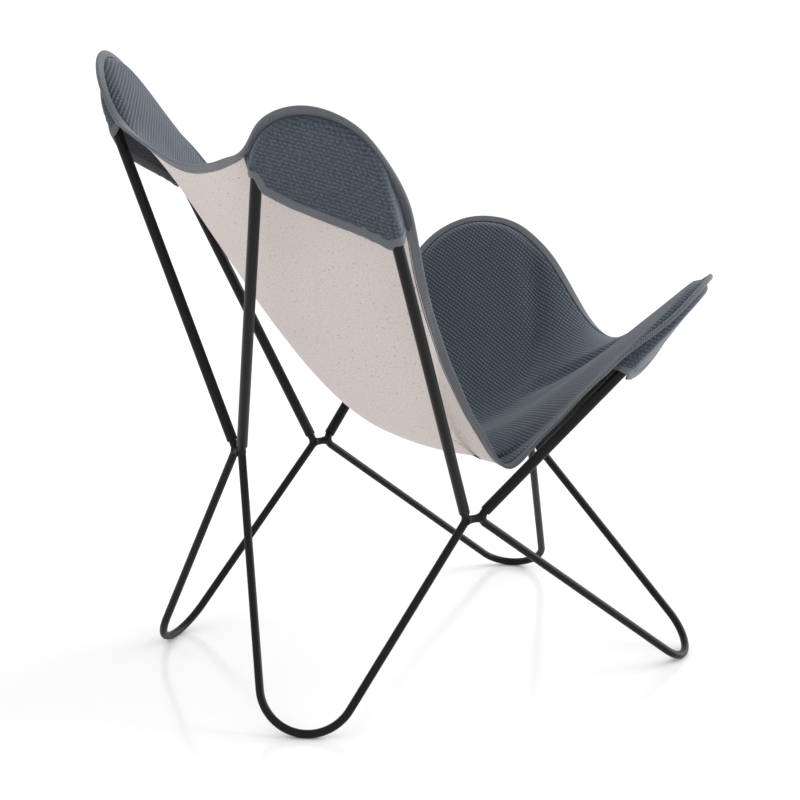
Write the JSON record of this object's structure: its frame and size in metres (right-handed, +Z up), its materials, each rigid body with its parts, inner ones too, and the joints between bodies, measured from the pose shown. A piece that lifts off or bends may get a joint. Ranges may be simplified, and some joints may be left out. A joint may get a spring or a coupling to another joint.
{
  "type": "butterfly sling chair",
  "caption": "Low lounge chair: a lined cloth sling hung by corner pockets from bent tubes that slip over the stubs of a welded steel rod frame.",
  "frame": {"origin": "centre of the plan, on the floor that the four foot loops stand on", "axes": "+Z up, -Y towards the front, +X towards the sitter's left"},
  "size_m": [0.7662, 0.7702, 0.9259],
  "materials": {
    "rod_steel": "satin black",
    "tube_steel": "satin black",
    "face_cloth": "coarse basket weave, blue-grey",
    "lining_cloth": "plain canvas, flecked off-white",
    "binding_tape": "ribbed grey tape"
  },
  "bodies": {
    "root": {"leg_rear_right": "rod_steel", "leg_front_right": "rod_steel", "leg_rear_left": "rod_steel", "leg_front_left": "rod_steel", "hoop_rear_right": "tube_steel", "hoop_front_right": "tube_steel", "hoop_rear_left": "tube_steel", "hoop_front_left": "tube_steel", "bridge_rear": "rod_steel", "bridge_front": "rod_steel", "bridge_right": "rod_steel", "bridge_left": "rod_steel", "sling_face": "face_cloth", "sling_lining": "lining_cloth", "edge_binding": "binding_tape", "pocket_rear_right": "face_cloth", "pocket_front_right": "face_cloth", "pocket_binding_rear_right": "binding_tape", "pocket_binding_front_right": "binding_tape", "pocket_rear_left": "face_cloth", "pocket_front_left": "face_cloth", "pocket_binding_rear_left": "binding_tape", "pocket_binding_front_left": "binding_tape"}
  },
  "joints": []
}
